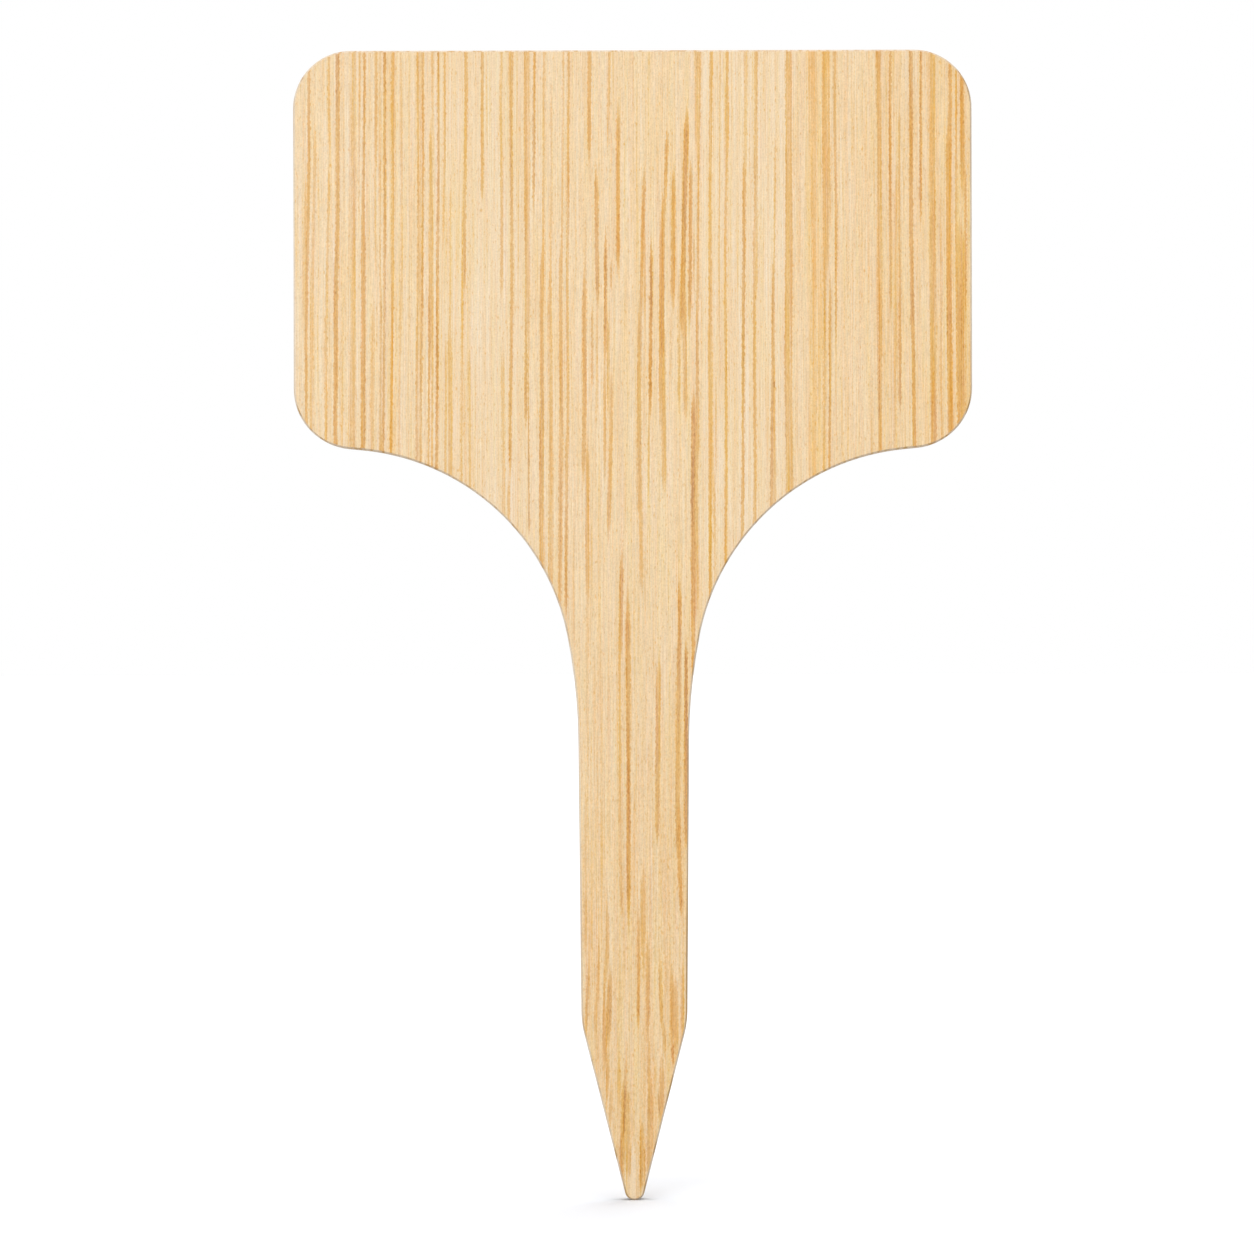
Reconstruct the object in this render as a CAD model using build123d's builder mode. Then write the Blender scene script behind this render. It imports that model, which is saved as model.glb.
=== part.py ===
from build123d import *

import os
from math import asin, atan2, cos, degrees, hypot, radians, sin, tan

# Plant label stake, T-shaped, sawn from a thin board of edge-glued bamboo strips.
#
# A wide writing head stands on a narrow stem that ends in a point for the soil. The board is glued
# up from upright strips first, and the T is cut through all of them afterwards. So every strip
# carries its own share of the outline: the outer ones are short and end in the head, the ones
# beside the middle end in the hollow shoulders, and two run on down the stem to the point.
#
# Frame: +Z up along the stake and the grain, X across the head, Y through the thickness, with the
# writing face towards -Y. The origin is the very end of the point, in the middle of the thickness.
# Millimetres, and degrees where a comment says so.

# Overall sizes
head_width = 60.0
overall_length = 101.7
thickness = 1.5

# Head
head_side_height = 34.7  # from the top edge down to where the underside would meet the side
top_corner_radius = 5.1
lower_corner_radius = 5.3
underside_rise = 5.6  # degrees that the underside climbs on its way out to the corner
underside_straight = 1.25  # what stays straight between the hollow shoulder and the corner

# Hollow shoulder: a long arc leads out of the stem, and a tighter one turns in under the head
run_out_radius = 50.0
run_out_turn = 10.8  # degrees

# Stem and point
stem_foot_width = 9.37  # where the point begins
stem_flare = 0.49  # degrees that each side of the stem leans outwards on its way up
point_length = 15.7
point_shoulder_radius = 8.8
tip_radius = 0.88

# Edges broken with sandpaper, all round both faces
edge_bevel = 0.15

# Glued-up board: the cut leaves a part of the first strip, and the last takes what remains
first_strip_width = 5.2
strip_width = 7.75

# How far a cutting block runs past what it cuts
overrun = 2.0


def arc_run(start, end):
    """Run (x, z) of an arc of radius 1 whose heading swings outwards between two leans."""
    return cos(start) - cos(end), sin(end) - sin(start)


def side_corners(sketch):
    """Corners on the far left and the far right of a sketch."""
    columns = sketch.vertices().group_by(Axis.X)
    return columns[0] + columns[-1]


# Flanks of the point: each touches the round tip and reaches the stem's full width at the top
tip_to_shoulder = hypot(stem_foot_width / 2, point_length - tip_radius)
flank_lean = atan2(stem_foot_width / 2, point_length - tip_radius) - asin(
    tip_radius / tip_to_shoulder
)

# Inner end of the straight underside, beside the rounded lower corner of the head
rise = radians(underside_rise)
underside_height = overall_length - head_side_height
lower_corner_reach = lower_corner_radius * tan((radians(90) - rise) / 2)
underside_run = underside_straight + lower_corner_reach
hollow_end_x = head_width / 2 - underside_run * cos(rise)
hollow_end_z = underside_height - underside_run * sin(rise)

# The long arc starts on the side of the stem, and the hollow ends on the underside. Both straight
# lines are given, so the hollow's radius and the height of the neck follow from them.
flare = radians(stem_flare)
run_out_lean = flare + radians(run_out_turn)
run_out_x, run_out_z = arc_run(flare, run_out_lean)
hollow_x, hollow_z = arc_run(run_out_lean, radians(90) - rise)
reach_x = hollow_end_x - stem_foot_width / 2 - run_out_radius * run_out_x
reach_z = hollow_end_z - point_length - run_out_radius * run_out_z
hollow_radius = (reach_x - reach_z * tan(flare)) / (hollow_x - hollow_z * tan(flare))
stem_rise = reach_z - hollow_radius * hollow_z
neck = (stem_foot_width / 2 + stem_rise * tan(flare), point_length + stem_rise)

# Blank: the whole T sawn through the board, with a fine bevel round both faces. The outline is
# drawn as its right half from the tip up and mirrored.
with BuildPart() as blank:
    with BuildSketch(Plane.XZ.offset(-thickness / 2)) as outline:
        with BuildLine():
            tip = CenterArc((0, tip_radius), tip_radius, -90, 90 - degrees(flank_lean))
            flank = Line(tip @ 1, (stem_foot_width / 2, point_length))
            stem_side = Line(flank @ 1, neck)
            run_out = JernArc(stem_side @ 1, stem_side % 1, run_out_radius, -run_out_turn)
            hollow_turn = 90 - underside_rise - stem_flare - run_out_turn
            hollow = JernArc(run_out @ 1, run_out % 1, hollow_radius, -hollow_turn)
            underside = Line(hollow @ 1, (head_width / 2, underside_height))
            head_side = Line(underside @ 1, (head_width / 2, overall_length))
            Line(head_side @ 1, (0, overall_length))
            mirror(about=Plane.YZ)
        make_face()
        fillet(side_corners(outline).group_by(Axis.Y)[-1], top_corner_radius)
        fillet(side_corners(outline).group_by(Axis.Y)[0], lower_corner_radius)
        point_shoulders = [
            outline.vertices().sort_by_distance((x, point_length))[0]
            for x in (-stem_foot_width / 2, stem_foot_width / 2)
        ]
        fillet(point_shoulders, point_shoulder_radius)
    extrude(amount=thickness)
    chamfer(blank.faces().filter_by(Axis.Y).edges(), edge_bevel)

# Glue lines across the board, from the left edge of the head to the right one
whole_strips = round((head_width - first_strip_width) / strip_width) - 1
glue_lines = [
    first_strip_width - head_width / 2 + strip_width * n for n in range(whole_strips + 1)
]
borders = [-head_width / 2 - overrun, *glue_lines, head_width / 2 + overrun]

# Strips: what the T keeps of the board between one glue line and the next
os.makedirs("parts", exist_ok=True)
for number, (left, right) in enumerate(zip(borders, borders[1:]), start=1):
    with BuildPart() as strip:
        add(blank.part)
        with Locations(((left + right) / 2, 0, overall_length / 2)):
            Box(
                right - left,
                thickness + overrun,
                overall_length + overrun,
                mode=Mode.INTERSECT,
            )
    strip.part.label = f"bamboo_strip_{number}"
    export_step(strip.part, f"parts/{strip.part.label}.step")
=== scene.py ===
from collections import namedtuple
from math import radians

import bpy
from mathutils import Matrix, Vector


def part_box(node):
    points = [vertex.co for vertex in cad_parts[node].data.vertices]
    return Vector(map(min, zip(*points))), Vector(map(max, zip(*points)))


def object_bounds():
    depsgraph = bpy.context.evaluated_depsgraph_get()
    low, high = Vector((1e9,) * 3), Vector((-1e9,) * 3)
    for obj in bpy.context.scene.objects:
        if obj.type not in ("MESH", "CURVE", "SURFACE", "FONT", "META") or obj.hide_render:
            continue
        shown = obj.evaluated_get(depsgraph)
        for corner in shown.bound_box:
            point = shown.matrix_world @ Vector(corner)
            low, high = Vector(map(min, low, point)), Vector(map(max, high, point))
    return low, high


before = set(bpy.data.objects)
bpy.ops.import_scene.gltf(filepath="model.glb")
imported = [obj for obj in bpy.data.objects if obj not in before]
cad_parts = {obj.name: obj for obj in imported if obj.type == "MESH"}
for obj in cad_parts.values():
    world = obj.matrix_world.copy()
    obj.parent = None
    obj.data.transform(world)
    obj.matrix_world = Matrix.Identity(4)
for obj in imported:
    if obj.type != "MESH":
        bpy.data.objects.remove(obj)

# Plant label stake of side-pressed bamboo, standing on its point on a white table.
#
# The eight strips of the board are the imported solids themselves. What is made here is their wood:
# the fibre bundles that run up the board, the pale pith between them and the sawn edges. Places in
# the wood are in millimetres in the frame of the stake, everything else is in metres.

cad_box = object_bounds()

MM = 0.001
METRE_IN_MM = 1000.0


# Colours

def linear(code):
    """The linear colour that an sRGB hex code such as "#f0d8b0" stands for."""
    channels = [int(code[place : place + 2], 16) / 255 for place in (1, 3, 5)]
    return [c / 12.92 if c <= 0.04045 else ((c + 0.055) / 1.055) ** 2.4 for c in channels] + [1.0]


# Nodes

def add(tree, kind, inputs=None, **settings):
    """Adds one node. inputs gives a socket's value, or the node or output that feeds it."""
    made = tree.nodes.new(kind)
    for name, value in settings.items():
        setattr(made, name, value)
    for name, value in (inputs or {}).items():
        if isinstance(value, bpy.types.Node):
            value = value.outputs[0]
        if isinstance(value, bpy.types.NodeSocket):
            tree.links.new(value, made.inputs[name])
        else:
            made.inputs[name].default_value = value
    return made


def start_group(name, inputs, output):
    """A new group of shader nodes. Its inputs and output are numbers, but Place is a vector."""
    tree = bpy.data.node_groups.new(name, "ShaderNodeTree")
    for socket in inputs:
        kind = "NodeSocketVector" if socket == "Place" else "NodeSocketFloat"
        tree.interface.new_socket(socket, in_out="INPUT", socket_type=kind)
    tree.interface.new_socket(output, in_out="OUTPUT", socket_type="NodeSocketFloat")
    return tree, add(tree, "NodeGroupInput").outputs


# Grain that is drawn out along the fibre. The first three numbers are the size of one grain in mm,
# across the face, through the board and along the fibre. The value swings from Low to High.
Grain = namedtuple("Grain", "Across Through Along Detail Low High")

grains = {
    # Sideways drift of the fibres in mm: slow, and in a fine tremble that frays the streaks
    "drift": Grain(4.0, 3.0, 25.0, 1.0, -0.10, 0.10),
    "tremble": Grain(0.18, 0.4, 0.28, 1.0, -0.045, 0.045),
    # Share of its full tone that a streak shows, where its bundles lie deeper or are cut short
    "depths": Grain(0.5, 0.5, 10.0, 3.0, 0.65, 1.15),
    "dashes": Grain(0.12, 0.2, 0.30, 2.0, 0.74, 1.26),
    # Tone of the pith: broad pale and straw bands, faint amber lines, and flecks in the stem
    "bands": Grain(0.9, 1.0, 60.0, 2.0, -0.03, 0.04),
    "lines": Grain(0.10, 0.2, 9.0, 1.0, -0.09, 0.10),
    "flecks": Grain(0.14, 0.2, 0.35, 2.0, -0.07, 0.08),
    # Vessels that the saw has opened, as short dashes: only what rises above zero shows
    "vessels": Grain(0.12, 0.2, 0.45, 1.0, -0.45, 0.16),
    # Fibre bundles of 0.35 mm laid bare in the sawn edges: lines along the grain, dots across it
    "bundles": Grain(0.35, 0.35, 14.0, 0.0, -0.55, 0.88),
    # Light and dark without a colour of their own. Single fibres of 0.02 mm and pores of 0.1 mm
    # would be lost between two pixels, so both are drawn coarser.
    "fibres": Grain(0.10, 0.15, 1.2, 1.0, 1.05, 0.94),
    "pores": Grain(0.13, 0.15, 0.15, 1.0, 1.05, 0.94),
    # Sap left in the wood: how strong its colour is, and how far that turns from amber to yellow
    "sap": Grain(0.18, 0.4, 10.0, 2.0, 0.91, 1.14),
    "hue": Grain(0.25, 0.5, 10.0, 2.0, 0.4925, 0.503),
}

# Nearly all of Blender's noise lies between these two values
usual_low = 0.3
usual_high = 0.7


def make_grain_group():
    """Noise in long grains of a size in mm, one cell of the noise to a grain."""
    tree, given = start_group("Long grain", ("Place", *Grain._fields), "Value")
    size = add(
        tree, "ShaderNodeCombineXYZ", {0: given["Across"], 1: given["Through"], 2: given["Along"]}
    )
    cell = add(tree, "ShaderNodeVectorMath", {0: given["Place"], 1: size}, operation="DIVIDE")
    noise = add(
        tree, "ShaderNodeTexNoise", {"Vector": cell, "Scale": 1.0, "Detail": given["Detail"]}
    )
    value = add(
        tree, "ShaderNodeMapRange",
        {"Value": noise, "From Min": usual_low, "From Max": usual_high,
         "To Min": given["Low"], "To Max": given["High"]},
        clamp=False,
    )
    add(tree, "NodeGroupOutput", {"Value": value})
    return tree


grain_group = make_grain_group()


# Fibre streaks

# Where a streak ends that isn't given a Top or a Foot: past the head, above it and below it. In mm.
above_head = 108.0
below_head = 50.0
usual_ends = 4.0

# One darker streak of fibre bundles in the face of a strip, in mm. Upper and Lower are its places
# across the face at its Top and its Foot. Tone is how much darker than pith it is, about 1 for a
# strong one. It thins out over the length Ends at either end.
Streak = namedtuple(
    "Streak", "Upper Lower Width Tone Top Foot Ends", defaults=(above_head, below_head, usual_ends)
)

# The streaks that show from a step away, strip by strip from the left
streaks = {
    "bamboo_strip_1": [
        Streak(-29.00, -29.05, 0.22, 0.30, Top=92, Foot=74),
        Streak(-28.65, -28.95, 0.28, 0.70),
        Streak(-28.20, -28.48, 0.30, 0.38, Top=97),
        Streak(-27.50, -27.55, 0.20, 0.22, Foot=94),
        Streak(-26.86, -26.90, 0.20, 0.50, Foot=91),
        Streak(-26.95, -27.17, 0.22, 0.52, Top=93),
        Streak(-26.05, -26.38, 0.34, 0.85),
        Streak(-26.30, -26.38, 0.20, 0.65, Top=86),
        Streak(-25.65, -25.73, 0.12, 0.24),
        Streak(-25.10, -25.22, 0.14, 0.20),
        Streak(-24.84, -25.01, 0.26, 0.40),
    ],
    "bamboo_strip_2": [
        Streak(-24.55, -24.80, 0.36, 0.50),
        Streak(-24.08, -24.20, 0.14, 0.42, Foot=84),
        Streak(-23.68, -23.92, 0.20, 0.70),
        Streak(-23.78, -23.98, 0.40, 0.84, Top=94, Ends=10),
        Streak(-23.18, -23.22, 0.12, 0.22, Foot=92),
        Streak(-22.70, -22.76, 0.27, 0.55, Foot=89),
        Streak(-22.72, -22.82, 0.12, 0.32, Foot=80),
        Streak(-23.02, -23.21, 0.32, 0.38, Top=81),
        Streak(-22.30, -22.45, 0.12, 0.38, Foot=78),
        Streak(-22.34, -22.38, 0.17, 0.72, Top=82),
        Streak(-21.88, -22.22, 0.21, 0.80),
        Streak(-21.18, -21.47, 0.24, 0.62),
        Streak(-21.02, -21.08, 0.20, 0.42, Foot=92),
        Streak(-20.38, -20.72, 0.20, 0.32),
        Streak(-19.72, -19.88, 0.12, 0.16),
        Streak(-18.80, -18.95, 0.34, 0.32),
        Streak(-18.95, -19.13, 0.17, 0.66),
        Streak(-18.48, -18.86, 0.16, 0.80),
        Streak(-18.60, -18.55, 0.25, 0.45, Foot=92),
        Streak(-17.66, -17.72, 0.20, 0.40, Foot=90),
        Streak(-17.86, -17.88, 0.36, 0.55, Top=97, Foot=72),
        Streak(-18.00, -18.14, 0.15, 0.82, Top=83),
        Streak(-17.76, -17.82, 0.16, 0.55, Top=80),
        Streak(-17.10, -17.51, 0.22, 0.95),
    ],
    "bamboo_strip_3": [
        Streak(-16.57, -16.66, 0.15, 0.48, Foot=83),
        Streak(-16.55, -16.66, 0.20, 0.45, Top=78),
        Streak(-16.05, -16.25, 0.15, 0.32, Top=92),
        Streak(-16.18, -16.24, 0.45, 0.46, Top=79),
        Streak(-14.70, -14.88, 0.27, 0.66, Foot=79.5, Ends=2.5),
        Streak(-14.98, -15.32, 0.17, 0.48, Top=85),
        Streak(-14.88, -14.80, 0.18, 0.24, Top=75),
        Streak(-14.45, -14.36, 0.28, 0.34, Top=77),
        Streak(-13.28, -13.36, 0.28, 0.66, Foot=87.5, Ends=2.5),
        Streak(-12.85, -12.90, 0.10, 0.16, Foot=82),
        Streak(-11.50, -11.66, 0.21, 0.55, Foot=78),
        Streak(-11.52, -11.42, 0.28, 0.36, Top=77),
        Streak(-10.60, -10.88, 0.27, 0.76, Foot=62.5),
        Streak(-11.00, -11.03, 0.22, 0.42, Top=64.5, Ends=2),
        Streak(-10.70, -10.74, 0.40, 0.45, Foot=96),
        Streak(-10.15, -10.21, 0.12, 0.15),
        Streak(-9.38, -9.50, 0.26, 0.82, Foot=67.5, Ends=2.5),
    ],
    "bamboo_strip_4": [
        Streak(-9.15, -9.22, 0.28, 0.38, Foot=72),
        Streak(-9.34, -9.34, 0.24, 0.98, Top=76, Foot=58, Ends=2),
        Streak(-8.58, -8.76, 0.19, 0.80, Foot=86),
        Streak(-7.80, -7.92, 0.18, 0.48, Foot=76),
        Streak(-7.98, -8.17, 0.34, 0.74, Top=86, Foot=46),
        Streak(-8.20, -8.31, 0.20, 0.95, Top=72, Foot=41),
        Streak(-7.20, -7.22, 0.18, 0.38, Top=100),
        Streak(-7.22, -7.58, 0.24, 0.64, Top=85, Foot=37),
        Streak(-7.40, -7.40, 0.24, 0.32, Top=82, Foot=70),
        Streak(-6.05, -6.26, 0.13, 0.36, Foot=76),
        Streak(-6.30, -6.50, 0.33, 0.62, Top=86),
        Streak(-6.46, -6.52, 0.25, 0.80, Top=70),
        Streak(-5.92, -5.96, 0.25, 0.84, Top=70),
        Streak(-5.58, -5.98, 0.20, 0.60),
        Streak(-5.22, -5.26, 0.16, 0.22, Top=63, Foot=47),
        Streak(-3.60, -3.82, 0.36, 0.70, Foot=90.5),
        Streak(-1.78, -2.15, 0.20, 0.46, Foot=91),
        Streak(-3.20, -3.15, 0.36, 0.86, Top=93, Foot=77.5),
        Streak(-3.18, -3.28, 0.22, 0.34, Top=81, Foot=66),
        Streak(-4.14, -4.30, 0.14, 0.45, Top=89, Foot=64),
        Streak(-4.26, -4.38, 0.37, 0.76, Top=84, Foot=62),
        Streak(-3.62, -3.66, 0.18, 0.60, Top=80, Foot=71, Ends=2),
        Streak(-2.36, -2.48, 0.27, 0.95, Top=87.5, Foot=72),
        Streak(-2.20, -2.12, 0.28, 0.60, Top=80, Foot=67),
        Streak(-1.87, -1.87, 0.15, 0.60, Top=83.5, Foot=80, Ends=1),
        Streak(-2.46, -2.56, 0.24, 0.52, Top=76, Foot=62),
        Streak(-1.88, -2.18, 0.36, 0.68, Top=75, Foot=57),
        Streak(-4.42, -4.45, 0.22, 0.34, Top=70, Foot=62),
        Streak(-4.04, -3.96, 0.36, 0.60, Top=69, Foot=51),
        Streak(-3.70, -3.58, 0.20, 0.30, Top=62, Foot=49),
        Streak(-3.96, -4.06, 0.20, 0.18, Top=58, Foot=37),
        Streak(-4.18, -4.32, 0.26, 0.24, Top=39, Foot=22),
        Streak(-4.30, -4.42, 0.26, 0.48, Top=29, Foot=20.5, Ends=3),
        Streak(-2.90, -2.88, 0.14, 0.20, Top=37, Foot=26),
        Streak(-2.42, -2.46, 0.30, 0.54, Top=27.5, Foot=19, Ends=3),
        Streak(-2.52, -2.76, 0.16, 0.55, Top=25, Foot=11),
        Streak(-3.18, -3.28, 0.22, 0.53, Top=24.5, Foot=15.5),
        Streak(-3.40, -3.42, 0.30, 0.35, Top=20, Foot=12.5),
        Streak(-4.03, -4.34, 0.22, 0.68, Top=22, Foot=13, Ends=3),
        Streak(-2.14, -2.26, 0.44, 0.76, Top=21.5, Foot=12.5, Ends=3),
        Streak(-2.38, -2.60, 0.30, 0.66, Top=19, Foot=10, Ends=3),
        Streak(-3.12, -3.18, 0.20, 0.48, Top=15.5, Foot=10),
        Streak(-2.18, -2.42, 0.32, 0.60, Top=15, Foot=7),
        Streak(-1.92, -2.12, 0.32, 0.50, Top=12, Foot=4.5),
    ],
    "bamboo_strip_5": [
        Streak(-1.33, -1.36, 0.38, 0.82, Top=98.5, Foot=80.5),
        Streak(1.20, 0.65, 0.29, 0.66, Top=93, Foot=75),
        Streak(1.12, 1.12, 0.25, 0.36, Top=88, Foot=76),
        Streak(0.66, 0.66, 0.42, 0.72, Top=81, Foot=58),
        Streak(0.70, 0.76, 0.40, 0.48, Top=67, Foot=52),
        Streak(1.68, 1.58, 0.24, 0.95, Top=86.5, Foot=67.5),
        Streak(1.55, 1.35, 0.15, 0.36, Top=72, Foot=60),
        Streak(3.10, 2.60, 0.26, 0.76, Top=96, Foot=82, Ends=3),
        Streak(2.68, 2.56, 0.40, 0.92, Top=90, Foot=72),
        Streak(2.60, 2.74, 0.50, 0.62, Top=80, Foot=61),
        Streak(2.42, 2.38, 0.13, 0.70, Top=88, Foot=67),
        Streak(3.62, 3.58, 0.42, 0.80, Top=93, Foot=77),
        Streak(3.48, 3.38, 0.20, 0.30, Top=81, Foot=70),
        Streak(4.88, 4.38, 0.46, 0.92, Top=98, Foot=75),
        Streak(4.15, 4.08, 0.18, 0.56, Top=84, Foot=68),
        Streak(4.62, 4.76, 0.40, 0.56, Top=83, Foot=67),
        Streak(5.25, 5.12, 0.30, 0.80, Top=93.5, Foot=75.5),
        Streak(5.50, 5.56, 0.13, 0.42, Top=88, Foot=78),
        Streak(5.70, 5.72, 0.40, 0.46, Foot=91),
        Streak(5.96, 5.84, 0.15, 0.66, Foot=72),
        Streak(5.84, 5.74, 0.28, 0.82, Top=82, Foot=63),
        Streak(5.46, 5.24, 0.46, 0.95, Top=73, Foot=48),
        Streak(5.30, 5.30, 0.30, 0.70, Top=58, Foot=43),
        Streak(5.66, 5.58, 0.32, 0.60, Top=72, Foot=50),
        Streak(-0.86, -1.14, 0.36, 0.70, Top=59, Foot=46),
        Streak(-1.12, -1.28, 0.20, 0.46, Top=53, Foot=31, Ends=3),
        Streak(-1.30, -1.18, 0.26, 0.42, Top=34, Foot=23.5),
        Streak(-1.22, -1.16, 0.13, 0.60, Top=29, Foot=24.5, Ends=2),
        Streak(-0.42, -0.56, 0.38, 0.76, Top=56, Foot=22, Ends=6),
        Streak(-0.50, -0.56, 0.28, 0.84, Top=37, Foot=24.8, Ends=2.5),
        Streak(2.24, 2.10, 0.38, 0.70, Top=49.2, Foot=30.5, Ends=3),
        Streak(2.12, 2.10, 0.24, 0.82, Top=38, Foot=30.6, Ends=2),
        Streak(2.04, 2.02, 0.13, 0.84, Top=47.5, Foot=34, Ends=2),
        Streak(4.08, 3.94, 0.30, 0.84, Top=56.5, Foot=42),
        Streak(3.98, 3.92, 0.42, 0.68, Top=52, Foot=33),
        Streak(3.74, 3.82, 0.14, 0.80, Top=40, Foot=29.5, Ends=3),
        Streak(3.88, 4.08, 0.32, 0.70, Top=38, Foot=26, Ends=3),
        Streak(3.98, 4.20, 0.30, 0.84, Top=31, Foot=24, Ends=2.5),
        Streak(4.60, 4.60, 0.31, 1.04, Top=50.5, Foot=29.8, Ends=3),
        Streak(0.92, 0.66, 0.52, 0.44, Top=31, Foot=20),
        Streak(0.42, 0.20, 0.25, 0.68, Top=27, Foot=14, Ends=3),
        Streak(0.82, 0.72, 0.16, 0.42, Top=26, Foot=17),
        Streak(1.20, 1.06, 0.33, 0.64, Top=25, Foot=12.5),
        Streak(2.22, 2.34, 0.28, 0.66, Top=23, Foot=14),
        Streak(2.32, 2.36, 0.18, 0.98, Top=18.8, Foot=14.6, Ends=1.5),
        Streak(2.55, 2.65, 0.26, 0.62, Top=16.5, Foot=12, Ends=2),
        Streak(2.80, 2.74, 0.20, 0.53, Top=23, Foot=16.5),
        Streak(3.20, 3.34, 0.34, 0.66, Top=22.5, Foot=11.5),
        Streak(3.52, 3.70, 0.42, 0.46, Top=21, Foot=11.5, Ends=3),
        Streak(3.32, 3.42, 0.22, 0.97, Top=14.5, Foot=11.5, Ends=1),
        Streak(4.17, 4.24, 0.30, 0.56, Top=22.5, Foot=12),
        Streak(-1.40, -1.40, 0.25, 0.28, Top=20, Foot=15),
        Streak(-1.32, -1.50, 0.40, 0.38, Top=14.5, Foot=6.5),
        Streak(-0.74, -0.96, 0.25, 0.56, Top=14.5, Foot=7),
        Streak(-0.80, -1.08, 0.23, 1.06, Top=11, Foot=4.6, Ends=1.5),
        Streak(-0.90, -1.06, 0.58, 0.56, Top=12, Foot=1.8, Ends=3),
        Streak(-0.60, -0.62, 0.13, 0.80, Top=10, Foot=7, Ends=1),
        Streak(-1.15, -1.22, 0.42, 0.72, Top=7.5, Foot=-1, Ends=3),
        Streak(-0.42, -0.46, 0.20, 0.68, Top=5.5, Foot=1.5, Ends=1.5),
        Streak(-0.66, -0.70, 0.42, 0.50, Top=9, Foot=1.4, Ends=2),
        Streak(0.58, 0.50, 0.34, 0.62, Top=7.5, Foot=0.2, Ends=1.5),
        Streak(0.50, 0.48, 0.14, 0.88, Top=5.5, Foot=0.5, Ends=1),
        Streak(0.86, 0.80, 0.14, 0.60, Top=6, Foot=1, Ends=2),
        Streak(1.15, 1.22, 0.26, 0.42, Top=17, Foot=7),
        Streak(1.34, 1.20, 0.56, 0.62, Top=12.5, Foot=0),
        Streak(1.20, 1.20, 0.12, 0.80, Top=9, Foot=6.5, Ends=1),
        Streak(1.80, 1.70, 0.20, 0.52, Top=14, Foot=8),
        Streak(2.46, 2.26, 0.60, 0.60, Top=14, Foot=5),
        Streak(2.05, 2.18, 0.15, 0.86, Top=10, Foot=7, Ends=1),
    ],
    "bamboo_strip_6": [
        Streak(7.06, 6.76, 0.29, 0.66),
        Streak(6.94, 6.68, 0.14, 0.55, Top=93),
        Streak(6.85, 6.90, 0.48, 0.44, Top=80, Foot=60),
        Streak(7.16, 7.32, 0.22, 0.50, Top=66),
        Streak(7.38, 7.34, 0.12, 0.34, Top=75, Foot=62),
        Streak(7.82, 7.72, 0.13, 0.32, Foot=70),
        Streak(8.43, 8.13, 0.21, 0.60),
        Streak(8.42, 8.38, 0.34, 0.48, Top=100, Foot=90),
        Streak(9.06, 9.06, 0.80, 0.10),
        Streak(10.00, 9.94, 0.30, 0.34, Foot=88),
        Streak(9.92, 9.54, 0.24, 0.88, Top=94),
        Streak(10.92, 10.84, 0.32, 0.60, Foot=78),
        Streak(10.69, 10.66, 0.24, 0.62, Top=88),
        Streak(12.52, 12.37, 0.14, 0.50, Top=96),
        Streak(12.46, 11.96, 0.26, 0.80, Top=85),
        Streak(12.42, 12.34, 0.32, 0.44, Top=70),
        Streak(12.42, 12.42, 0.16, 2.20, Top=72.5, Foot=71.7, Ends=0.3),
        Streak(13.80, 13.75, 0.48, 0.56),
        Streak(13.62, 13.45, 0.13, 0.72),
        Streak(13.94, 13.94, 0.13, 0.66),
    ],
    "bamboo_strip_7": [
        Streak(14.00, 13.95, 0.24, 0.56),
        Streak(14.68, 14.66, 0.10, 0.18, Foot=80),
        Streak(16.05, 16.05, 0.68, 0.28, Foot=84),
        Streak(16.00, 16.14, 0.40, 0.16),
        Streak(17.00, 16.90, 0.20, 0.54),
        Streak(17.20, 17.14, 0.34, 0.50, Foot=80),
        Streak(17.43, 17.41, 0.12, 0.48, Foot=84),
        Streak(17.40, 17.43, 0.20, 0.82, Top=83),
        Streak(17.92, 17.96, 0.24, 0.52, Foot=80),
        Streak(17.96, 17.92, 0.16, 0.74, Top=94, Foot=74),
        Streak(18.60, 18.60, 1.60, 0.08, Top=81),
        Streak(18.90, 18.95, 0.14, 0.20, Top=88, Foot=77),
        Streak(21.08, 21.14, 0.24, 0.28, Top=77),
        Streak(21.60, 21.74, 0.14, 0.70, Foot=68),
    ],
    "bamboo_strip_8": [
        Streak(21.86, 21.86, 0.36, 0.62),
        Streak(21.68, 21.80, 0.13, 0.85, Top=95, Foot=66),
        Streak(22.82, 22.75, 0.19, 0.80, Foot=76.5),
        Streak(23.28, 23.10, 0.24, 0.34, Top=93),
        Streak(23.55, 23.58, 0.22, 0.50, Top=98, Foot=68.5),
        Streak(23.58, 23.60, 0.20, 0.78, Top=83, Foot=68.5, Ends=3),
        Streak(24.54, 24.68, 0.38, 0.86, Foot=74),
        Streak(24.64, 25.08, 0.32, 0.76, Top=84),
        Streak(25.48, 25.47, 0.20, 0.92, Foot=84.5),
        Streak(26.50, 26.60, 0.60, 0.50),
        Streak(26.50, 26.63, 0.50, 0.72, Top=91),
        Streak(26.76, 26.80, 0.13, 0.66, Top=93),
        Streak(27.30, 27.38, 0.15, 0.32, Top=92),
        Streak(28.10, 28.16, 0.28, 0.64),
        Streak(28.02, 28.17, 0.50, 0.74, Top=97),
        Streak(28.66, 28.68, 0.16, 0.56, Foot=78),
        Streak(29.14, 29.20, 0.34, 0.68, Foot=87),
        Streak(29.42, 29.48, 0.18, 0.68, Top=93, Foot=76),
        Streak(29.02, 29.13, 0.80, 0.66, Top=88),
        Streak(28.78, 28.73, 0.15, 0.74, Top=88),
    ],
}

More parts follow.
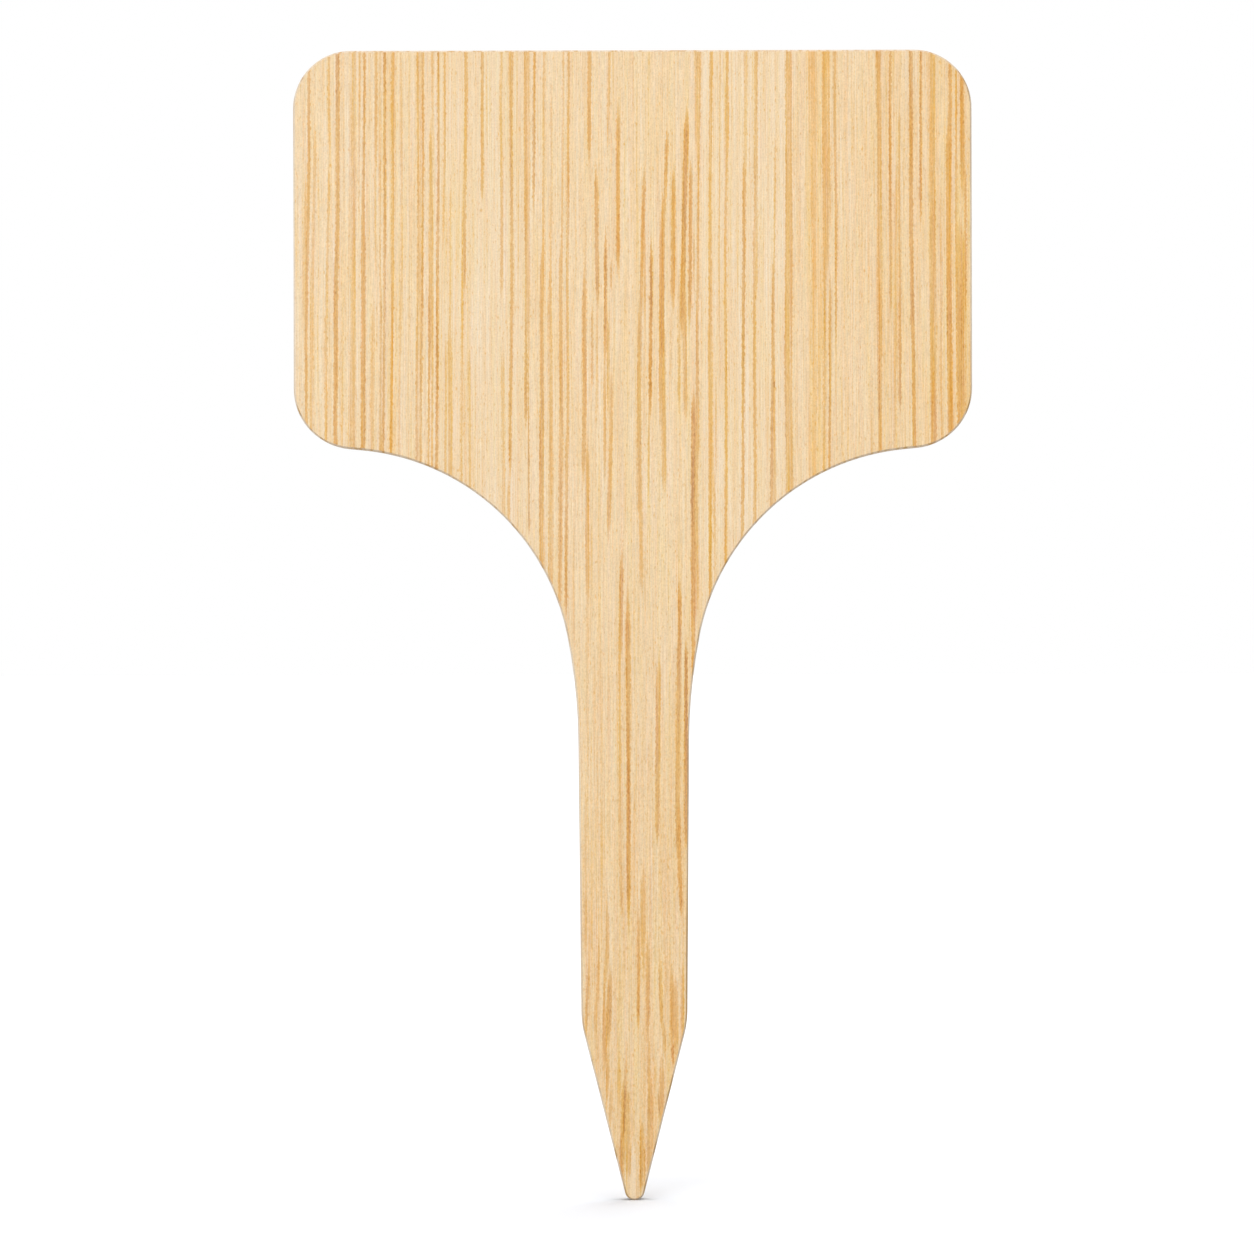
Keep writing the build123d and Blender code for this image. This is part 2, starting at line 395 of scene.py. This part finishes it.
# Broader bands where more sap stayed in the wood, which turned it golden rather than darker. Here
# Tone is how much stronger the colour gets.
golden_bands = {
    "bamboo_strip_1": [Streak(-27.20, -27.30, 1.40, 0.05)],
    "bamboo_strip_2": [Streak(-21.10, -21.10, 1.30, 0.09)],
    "bamboo_strip_3": [Streak(-16.20, -14.80, 2.60, 0.05)],
    "bamboo_strip_6": [Streak(6.95, 6.85, 0.70, 0.08), Streak(8.35, 8.30, 0.60, 0.08)],
    "bamboo_strip_7": [Streak(16.25, 16.20, 1.70, 0.13), Streak(17.30, 17.25, 0.70, 0.10, Foot=88)],
    "bamboo_strip_8": [
        Streak(26.10, 26.10, 1.20, 0.04),
        Streak(26.70, 26.70, 1.00, 0.09, Foot=90),
        Streak(28.80, 28.70, 3.40, 0.06),
    ],
}

# A streak reaches half its width to either side of its middle. Its edge blurs over this many mm
# outwards, and inwards up to its core, which is this share of its width.
half = 0.5
edge_blur = 0.05
core_share = 0.60


def make_streak_group():
    """Lays one streak over those before it, and gives the darker of the two."""
    inputs = ("Before", "Across", "Depth", "Height", *Streak._fields)
    tree, given = start_group("Fibre streak", inputs, "Darker")

    # Distance from the middle of the bundle, sideways and below the face
    line = add(
        tree, "ShaderNodeMapRange",
        {"Value": given["Height"], "From Min": given["Foot"], "From Max": given["Top"],
         "To Min": given["Lower"], "To Max": given["Upper"]},
        clamp=False,
    )
    aside = add(tree, "ShaderNodeMath", {0: given["Across"], 1: line}, operation="SUBTRACT")
    offset = add(tree, "ShaderNodeCombineXYZ", {0: aside, 1: given["Depth"]})
    distance = add(tree, "ShaderNodeVectorMath", {0: offset}, operation="LENGTH")

    # How much of its width and tone is left near an end
    above_foot = add(
        tree, "ShaderNodeMath", {0: given["Height"], 1: given["Foot"]}, operation="SUBTRACT"
    )
    below_top = add(
        tree, "ShaderNodeMath", {0: given["Top"], 1: given["Height"]}, operation="SUBTRACT"
    )
    to_end = add(tree, "ShaderNodeMath", {0: above_foot, 1: below_top}, operation="MINIMUM")
    fullness = add(
        tree, "ShaderNodeMapRange", {"Value": to_end, "From Min": 0.0, "From Max": given["Ends"]},
        interpolation_type="SMOOTHSTEP", clamp=False,
    )

    # Full tone in the core, fading out over the blurred edge
    width = add(tree, "ShaderNodeMath", {0: given["Width"], 1: fullness}, operation="MULTIPLY")
    outside = add(
        tree, "ShaderNodeMath", {0: width, 1: half, 2: edge_blur}, operation="MULTIPLY_ADD"
    )
    core = add(tree, "ShaderNodeMath", {0: width, 1: half * core_share}, operation="MULTIPLY")
    body = add(
        tree, "ShaderNodeMapRange",
        {"Value": distance.outputs["Value"], "From Min": outside, "From Max": core},
        interpolation_type="SMOOTHSTEP", clamp=False,
    )
    tone = add(tree, "ShaderNodeMath", {0: body, 1: given["Tone"]}, operation="MULTIPLY")
    shown = add(tree, "ShaderNodeMath", {0: tone, 1: fullness}, operation="MULTIPLY")
    darker = add(tree, "ShaderNodeMath", {0: given["Before"], 1: shown}, operation="MAXIMUM")
    add(tree, "NodeGroupOutput", {"Darker": darker})
    return tree


streak_group = make_streak_group()


def lay_streaks(tree, chosen, across, depth, height):
    """The chosen streaks, laid one over the other: 0 between them, and up to their Tone in them."""
    darkest = 0.0
    for streak in chosen:
        darkest = add(
            tree, "ShaderNodeGroup",
            {"Before": darkest, "Across": across, "Depth": depth, "Height": height,
             **streak._asdict()},
            node_tree=streak_group,
        )
    return darkest


# Bamboo

# Colours of the three kinds of strip, from the palest pith at tone 0 to the darkest fibre at tone 1
fibre_tones = {
    "pale_bamboo": ("#fae6c8", "#f5dbb2", "#f0ce9b", "#e9c080", "#dfaf6a", "#c89556"),
    "straw_bamboo": ("#f9e3c2", "#f4d8ac", "#efcb97", "#e8bd7e", "#deac69", "#c79252"),
    "honey_bamboo": ("#f8e0bb", "#f2d4a5", "#edc78f", "#e6b975", "#dba561", "#c48c4b"),
}

# The tones at which the four colours between these two stand
inner_places = (0.16, 0.32, 0.52, 0.76)

# Which kind each strip is, and how dark its pith is
Strip = namedtuple("Strip", "kind pith")
strips = {
    "bamboo_strip_1": Strip("straw_bamboo", 0.08),
    "bamboo_strip_2": Strip("straw_bamboo", 0.10),
    "bamboo_strip_3": Strip("pale_bamboo", 0.145),
    "bamboo_strip_4": Strip("straw_bamboo", 0.12),
    "bamboo_strip_5": Strip("honey_bamboo", 0.085),
    "bamboo_strip_6": Strip("pale_bamboo", 0.125),
    "bamboo_strip_7": Strip("straw_bamboo", 0.16),
    "bamboo_strip_8": Strip("honey_bamboo", 0.14),
}

# What a streak adds to the tone of the pith round it, as a share of its own Tone
streak_strength = 0.73

# A bundle is twice as deep as it is wide, so its depth below the face counts half
depth_share = 0.5

# Down the stake the pith ripens to honey, by this much tone between these heights in mm
ripe_tone = 0.105
ripe_from = 62.0
ripe_to = 24.0

# Down the stem the saw cuts the fibres more and more askew, which breaks the lines up into
# flecks: from none to all of them between these heights in mm
flecks_from = 60.0
flecks_to = 25.0

# Down the stake the wood also gets a little darker: its brightness falls to this share
# between these heights in mm
foot_light = 0.972
darken_from = 80.0
darken_to = 32.0

# Painted highlight at the very end of the point, for the light that its rounded end catches: a pale
# patch round this place in mm takes this much tone off the pith, and fades out between two shares of
# its reach
pale_middle = (-0.14, 0.0, 1.4)
pale_reach = (0.25, 4.0, 3.7)
pale_full = 0.6
pale_gone = 1.3
pale_tone = 0.46

# Sawn and sanded edges: cut pith is greyish along the grain and a darker brown where the fibres
# are cut across, with browner bundles in it. An edge takes this share of those colours.
cut_along = "#ecdec9"
cut_across = "#b9a792"
cut_bundle = "#b4905f"
cut_share = 0.8

# What counts as the board's face and as its edge, by how squarely it looks forwards or backwards
face_normal = 0.98
edge_normal = 0.75

# Sheen: dense fibre sands down smoother than pith. Its fibres stand a few hundredths of a mm proud.
pith_roughness = 0.66
fibre_roughness = 0.48
cellulose_ior = 1.45
relief_height = 0.03 * MM
relief_strength = 0.5

# Step in mm that sets the grain of each strip apart from that of its neighbours
grain_step = Vector((31.7, 11.3, 53.1))


def make_bamboo(name, number):
    """Sanded bare bamboo: silky straight grain, with no gloss but a faint sheen on the fibres."""
    low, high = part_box(name)
    material = bpy.data.materials.new(f"Sanded bamboo, strip {number}")
    material.use_nodes = True
    tree = material.node_tree
    tree.nodes.clear()

    # Place in the wood in mm, and the same place moved on for this strip's own grain
    place = add(tree, "ShaderNodeTexCoord")
    in_mm = add(
        tree, "ShaderNodeVectorMath", {0: place.outputs["Object"], "Scale": METRE_IN_MM},
        operation="SCALE",
    )
    moved = add(tree, "ShaderNodeVectorMath", {0: in_mm, 1: grain_step * number}, operation="ADD")
    grain = {
        pattern: add(
            tree, "ShaderNodeGroup", {"Place": moved, **size._asdict()}, node_tree=grain_group
        )
        for pattern, size in grains.items()
    }

    # The back of a strip shows its bundles the other way round than its front
    x, y, z = add(tree, "ShaderNodeSeparateXYZ", {0: in_mm}).outputs
    on_back = add(tree, "ShaderNodeMath", {0: y, 1: 0.0}, operation="GREATER_THAN")
    both_sides_mm = (low.x + high.x) * METRE_IN_MM
    turned = add(tree, "ShaderNodeMath", {0: both_sides_mm, 1: x}, operation="SUBTRACT")
    face_x = add(tree, "ShaderNodeMix", {"Factor": on_back, "A": x, "B": turned}, data_type="FLOAT")
    shift = add(tree, "ShaderNodeMath", {0: grain["drift"], 1: grain["tremble"]}, operation="ADD")
    across = add(tree, "ShaderNodeMath", {0: face_x, 1: shift}, operation="ADD")

    # Depth below the nearer face
    from_middle = add(tree, "ShaderNodeMath", {0: y}, operation="ABSOLUTE")
    face_depth = add(
        tree, "ShaderNodeMath", {0: high.y * METRE_IN_MM, 1: from_middle}, operation="SUBTRACT"
    )
    depth = add(tree, "ShaderNodeMath", {0: face_depth, 1: depth_share}, operation="MULTIPLY")

    # The streaks, less dark where their bundles lie deeper or are cut short
    darkness = lay_streaks(tree, streaks[name], across, depth, z)
    frayed = add(
        tree, "ShaderNodeMath", {0: grain["depths"], 1: grain["dashes"]}, operation="MULTIPLY"
    )
    share = add(tree, "ShaderNodeMath", {0: frayed, 1: streak_strength}, operation="MULTIPLY")
    streak_tone = add(tree, "ShaderNodeMath", {0: darkness, 1: share}, operation="MULTIPLY")

    # The pith between them, riper towards the foot, with a painted highlight at the very end
    in_stem = add(
        tree, "ShaderNodeMapRange", {"Value": z, "From Min": flecks_from, "From Max": flecks_to}
    )
    flecks = add(
        tree, "ShaderNodeMath", {0: grain["flecks"], 1: in_stem}, operation="MULTIPLY"
    )
    lines = add(tree, "ShaderNodeMath", {0: grain["lines"], 1: flecks}, operation="ADD")
    pith = add(tree, "ShaderNodeMath", {0: grain["bands"], 1: lines}, operation="ADD")
    ripeness = add(
        tree, "ShaderNodeMapRange",
        {"Value": z, "From Min": ripe_from, "From Max": ripe_to,
         "To Min": strips[name].pith, "To Max": strips[name].pith + ripe_tone},
    )
    ripe_pith = add(tree, "ShaderNodeMath", {0: pith, 1: ripeness}, operation="ADD")
    # Painted highlight: a pale patch at the very end of the point stands in for the light its rounded
    # end catches
    from_pale = add(
        tree, "ShaderNodeVectorMath", {0: in_mm, 1: pale_middle}, operation="SUBTRACT"
    )
    pale_share = add(
        tree, "ShaderNodeVectorMath", {0: from_pale, 1: pale_reach}, operation="DIVIDE"
    )
    pale_distance = add(tree, "ShaderNodeVectorMath", {0: pale_share}, operation="LENGTH")
    painted_tip_highlight = add(
        tree, "ShaderNodeMapRange",
        {"Value": pale_distance.outputs["Value"], "From Min": pale_gone, "From Max": pale_full,
         "To Min": 0.0, "To Max": pale_tone},
        interpolation_type="SMOOTHSTEP",
    )
    pale_pith = add(tree, "ShaderNodeMath", {0: ripe_pith, 1: painted_tip_highlight}, operation="SUBTRACT")
    fibre_tone = add(tree, "ShaderNodeMath", {0: pale_pith, 1: streak_tone}, operation="ADD")
    vessels = add(tree, "ShaderNodeMath", {0: grain["vessels"], 1: 0.0}, operation="MAXIMUM")
    tone = add(tree, "ShaderNodeMath", {0: fibre_tone, 1: vessels}, operation="ADD")
    wood = add(tree, "ShaderNodeValToRGB", {0: tone})
    tones = wood.color_ramp.elements
    for at in inner_places:
        tones.new(at)
    for element, code in zip(tones, fibre_tones[strips[name].kind]):
        element.color = linear(code)

    # Sawn edges and the bevel cut the fibres open: they look greyer, with the bundles laid bare
    normal = add(tree, "ShaderNodeSeparateXYZ", {0: place.outputs["Normal"]})
    facing = add(tree, "ShaderNodeMath", {0: normal.outputs["Y"]}, operation="ABSOLUTE")
    sawn = add(
        tree, "ShaderNodeMapRange",
        {"Value": facing, "From Min": face_normal, "From Max": edge_normal,
         "To Min": 0.0, "To Max": cut_share},
    )
    upward = add(tree, "ShaderNodeMath", {0: normal.outputs["Z"]}, operation="ABSOLUTE")
    cut_pith = add(
        tree, "ShaderNodeMix",
        {"Factor": upward, "A": linear(cut_along), "B": linear(cut_across)}, data_type="RGBA",
    )
    cut_wood = add(
        tree, "ShaderNodeMix",
        {"Factor": grain["bundles"], "A": cut_pith.outputs["Result"], "B": linear(cut_bundle)},
        data_type="RGBA",
    )
    surface = add(
        tree, "ShaderNodeMix", {"Factor": sawn, "A": wood, "B": cut_wood.outputs["Result"]},
        data_type="RGBA",
    )

    # Fine light and dark, and what the sap does to the colour
    # The wood gets darker towards the foot
    foot_darkening = add(
        tree, "ShaderNodeMapRange",
        {"Value": z, "From Min": darken_from, "From Max": darken_to, "To Min": 1.0, "To Max": foot_light},
    )
    fine = add(tree, "ShaderNodeMath", {0: grain["fibres"], 1: grain["pores"]}, operation="MULTIPLY")
    light = add(tree, "ShaderNodeMath", {0: fine, 1: foot_darkening}, operation="MULTIPLY")
    gold = lay_streaks(tree, golden_bands.get(name, ()), across, depth, z)
    sap = add(tree, "ShaderNodeMath", {0: grain["sap"], 1: gold}, operation="ADD")
    colour = add(
        tree, "ShaderNodeHueSaturation",
        {"Hue": grain["hue"], "Saturation": sap, "Value": light,
         "Color": surface.outputs["Result"]},
    )

    # Sheen, and the relief of fine fibres that stand a hair proud of the pith
    roughness = add(
        tree, "ShaderNodeMapRange",
        {"Value": tone, "To Min": pith_roughness, "To Max": fibre_roughness},
    )
    ridges = add(tree, "ShaderNodeMath", {0: grain["lines"], 1: fine}, operation="SUBTRACT")
    bump = add(
        tree, "ShaderNodeBump",
        {"Height": ridges, "Strength": relief_strength, "Distance": relief_height},
    )
    shader = add(
        tree, "ShaderNodeBsdfPrincipled",
        {"Base Color": colour, "Roughness": roughness, "Normal": bump, "IOR": cellulose_ior},
    )
    add(tree, "ShaderNodeOutputMaterial", {"Surface": shader})
    return material


for number, name in enumerate(strips, start=1):
    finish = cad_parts[name].data.materials
    finish.clear()
    finish.append(make_bamboo(name, number))


# White table

# The white that the camera sees, and the grey that shines back up onto the stake: a table that is
# white to the wood too lights it more from below than in the photo. The white is a touch cool,
# because light off the wood warms the shadow.
table_white = "#eef0f4"
table_grey = "#b9b9b9"
table_roughness = 0.9

# How far the table goes on to each side of the stake
table_reach = 4.0


def add_seen(tree):
    """1 for what the camera sees, straight on or in a mirror, and 0 for the light on the stake."""
    ray = add(tree, "ShaderNodeLightPath").outputs
    mirrored = add(
        tree, "ShaderNodeMath", {0: ray["Is Glossy Ray"], 1: ray["Is Transmission Ray"]},
        operation="MAXIMUM",
    )
    return add(
        tree, "ShaderNodeMath", {0: ray["Is Camera Ray"], 1: mirrored}, operation="MAXIMUM"
    )


def make_table():
    """A matt white table top that goes on past what the camera sees, and keeps the soft shadow."""
    near, far = -table_reach, table_reach
    mesh = bpy.data.meshes.new("table_top")
    corners = [(near, near, 0), (far, near, 0), (far, far, 0), (near, far, 0)]
    mesh.from_pydata(corners, [], [(0, 1, 2, 3)])
    table = bpy.data.objects.new("table_top", mesh)
    bpy.context.scene.collection.objects.link(table)

    # White laminate: no grain and no gloss, so only the shadow shows on it
    material = bpy.data.materials.new("White laminate")
    material.use_nodes = True
    tree = material.node_tree
    tree.nodes.clear()
    colour = add(
        tree, "ShaderNodeMix",
        {"Factor": add_seen(tree), "A": linear(table_grey), "B": linear(table_white)},
        data_type="RGBA",
    )
    laminate = add(
        tree, "ShaderNodeBsdfPrincipled",
        {"Base Color": colour.outputs["Result"], "Roughness": table_roughness,
         "Specular IOR Level": 0.0},
    )
    add(tree, "ShaderNodeOutputMaterial", {"Surface": laminate})
    mesh.materials.append(material)
    return table


make_table()


# Light

# How bright the room is to the wood, where the white that the camera sees is 1
room_light = 0.35


def make_room():
    """White all round to the camera and in reflections, and a plain soft light on the wood."""
    world = bpy.data.worlds.new("White room")
    bpy.context.scene.world = world
    world.use_nodes = True
    tree = world.node_tree
    tree.nodes.clear()
    strength = add(
        tree, "ShaderNodeMix", {"Factor": add_seen(tree), "A": room_light, "B": 1.0},
        data_type="FLOAT",
    )
    walls = add(tree, "ShaderNodeBackground", {"Color": linear("#ffffff"), "Strength": strength})
    add(tree, "ShaderNodeOutputWorld", {"Surface": walls})


def make_softbox(name, source, strength, spread):
    """A very wide, even light onto the stake, from the side where source lies. spread in degrees."""
    lamp = bpy.data.lights.new(name, "SUN")
    lamp.energy = strength
    lamp.angle = radians(spread)
    box = bpy.data.objects.new(name, lamp)
    bpy.context.scene.collection.objects.link(box)
    box.location = source
    box.rotation_euler = Vector(source).to_track_quat("Z", "Y").to_euler()


make_room()
make_softbox("overhead_softbox", source=(0.0, 0.0, 1.0), strength=2.3, spread=32)
make_softbox("key_softbox", source=(-0.28, -0.92, 0.27), strength=1.51, spread=40)
make_softbox("back_softbox", source=(0.45, 0.85, 0.27), strength=1.35, spread=60)


# Camera

# The photo's size and scale, and where the middle of the head and the end of the point lie in it
photo_side_px = 1254
photo_px_per_mm = 11.31
head_middle_px = 633.5
tip_px = 1200.3

# The stake leans a hair in the photo, so the camera does. A long lens keeps the view flat.
roll_degrees = 0.13
lens_mm = 120.0
sensor_mm = 36.0

photo_middle_px = photo_side_px / 2
seen_width = photo_side_px / photo_px_per_mm * MM
camera_x = (photo_middle_px - head_middle_px) / photo_px_per_mm * MM
camera_y = cad_box[0].y - lens_mm / sensor_mm * seen_width
camera_z = (tip_px - photo_middle_px) / photo_px_per_mm * MM
level = radians(90)

lens = bpy.data.cameras.new("photo_camera")
lens.lens = lens_mm
lens.sensor_width = sensor_mm
camera = bpy.data.objects.new("photo_camera", lens)
bpy.context.scene.collection.objects.link(camera)
camera.location = (camera_x, camera_y, camera_z)
camera.rotation_euler = (level, radians(roll_degrees), 0)
bpy.context.scene.camera = camera
bpy.context.scene.view_settings.view_transform = "Standard"
